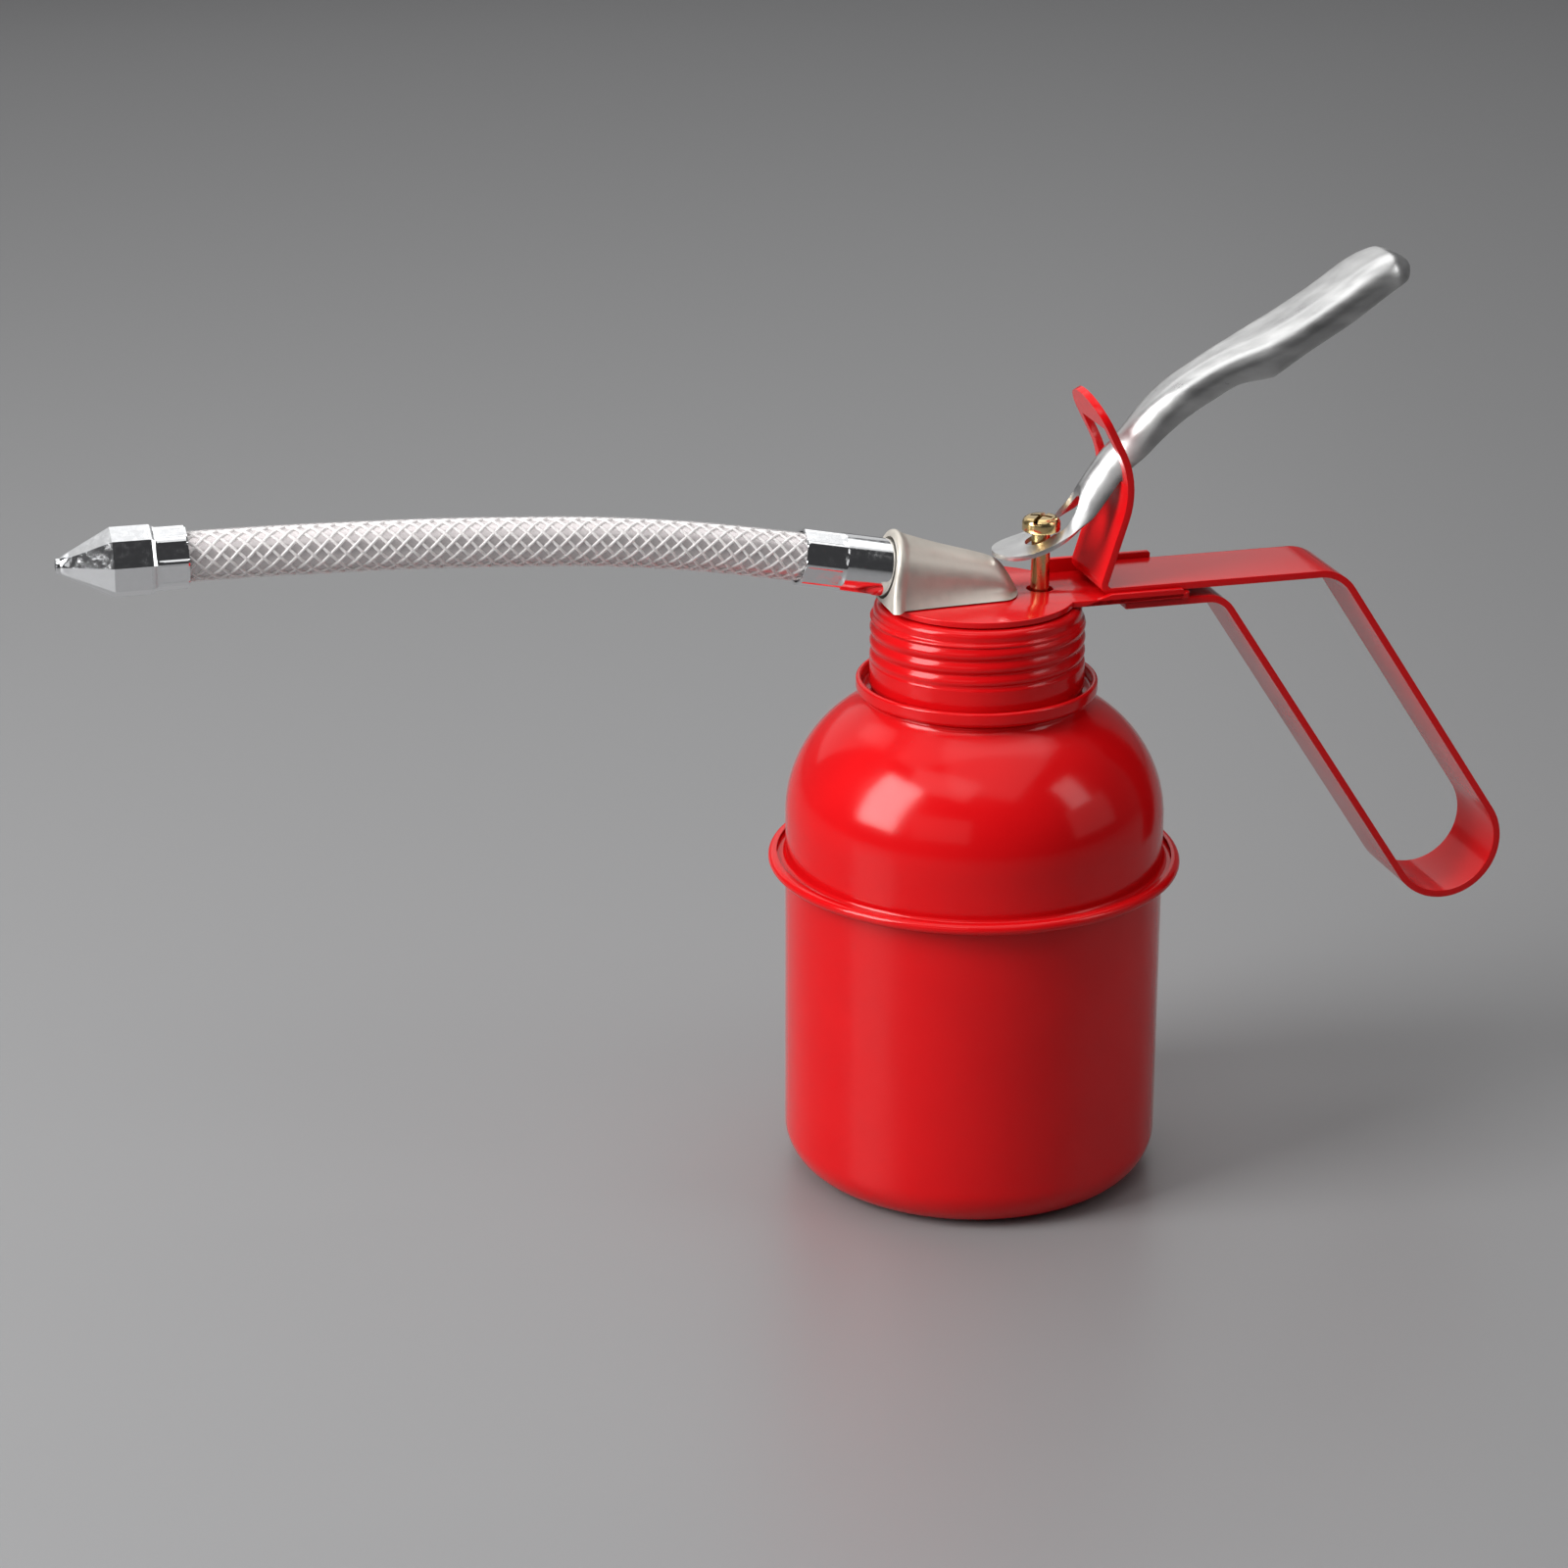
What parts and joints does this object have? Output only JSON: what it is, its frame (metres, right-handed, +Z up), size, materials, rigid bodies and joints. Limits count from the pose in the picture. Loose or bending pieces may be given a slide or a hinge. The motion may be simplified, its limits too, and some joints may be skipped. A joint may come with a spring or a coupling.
{
  "type": "pump oil can",
  "caption": "Hand oiler: pressed steel can with a screw cap, lift pump, strap handle, pressed lever and a flexible braided spout with a plated nozzle.",
  "frame": {"origin": "centre of the can's flat base, on the surface that it stands on", "axes": "+Z up through the can and its neck; +X towards the handle and lever, -X along the spout; the object's middle plane is Y = 0"},
  "size_m": [0.3057, 0.087, 0.1954],
  "materials": {
    "red_enamel": "gloss red enamel on pressed steel",
    "bright_steel": "bare bright steel with rubbed streaks",
    "cast_zinc": "satin zinc die casting",
    "chrome_plate": "bright nickel chrome plate",
    "brass": "machined brass",
    "black_rubber": "oil resistant rubber",
    "fibre_board": "pressed fibre disc",
    "clear_vinyl": "clear vinyl hose with a white braid in its wall"
  },
  "bodies": {
    "reservoir": {"reservoir_cup": "red_enamel", "reservoir_dome": "red_enamel", "threaded_neck": "red_enamel"},
    "seal": {"neck_seal": "black_rubber"},
    "head": {"cap_liner": "fibre_board", "screw_cap": "red_enamel", "top_plate": "red_enamel", "handle_strap": "red_enamel", "pump_head": "cast_zinc", "head_nut": "bright_steel", "pump_block": "cast_zinc", "rod_bush": "brass", "pump_barrel": "brass", "foot_valve": "brass", "suction_tube": "bright_steel", "return_spring": "bright_steel", "spout_nipple": "brass", "nipple_washer": "brass", "rear_ferrule": "chrome_plate", "spout_hose": "clear_vinyl", "nozzle": "chrome_plate", "nozzle_tail": "brass"},
    "lever": {"lever": "bright_steel"},
    "rod": {"rod_screw": "brass", "piston": "brass", "piston_cup": "black_rubber", "piston_nut": "brass"},
    "delivery_valve": {"delivery_ball": "bright_steel"},
    "inlet_valve": {"inlet_ball": "bright_steel"}
  },
  "joints": [
    {"name": "cap_lift", "type": "slide", "parent": "reservoir", "child": "seal", "axis": [0, 0, 1], "range_m": [0, 0.00862]},
    {"name": "cap_turn", "type": "hinge", "parent": "seal", "child": "head", "pos_m": [0, 0, 0.115], "axis": [0, 0, 1], "range_deg": [0, 1080]},
    {"name": "lever_pivot", "type": "hinge", "parent": "head", "child": "lever", "pos_m": [0.0299, 0, 0.1517], "axis": [0, 1, 0], "range_deg": [0, 28]},
    {"name": "rod_slide", "type": "slide", "parent": "head", "child": "rod", "axis": [0, 0, 1], "range_m": [0, 0.0079], "stiffness_N_per_m": 2200, "springref_m": -0.0065, "deforming": ["return_spring"]},
    {"name": "delivery_ball_lift", "type": "slide", "parent": "rod", "child": "delivery_valve", "axis": [0, 0, 1], "range_m": [0, 0.0009]},
    {"name": "inlet_ball_lift", "type": "slide", "parent": "head", "child": "inlet_valve", "axis": [0, 0, 1], "range_m": [0, 0.0008]}
  ],
  "couplings": [
    {"joint": "cap_lift", "follows": "cap_turn", "m_per_rad": 0.00045677},
    {"joint": "lever_pivot", "follows": "rod_slide", "rad_per_m": 61.728}
  ]
}
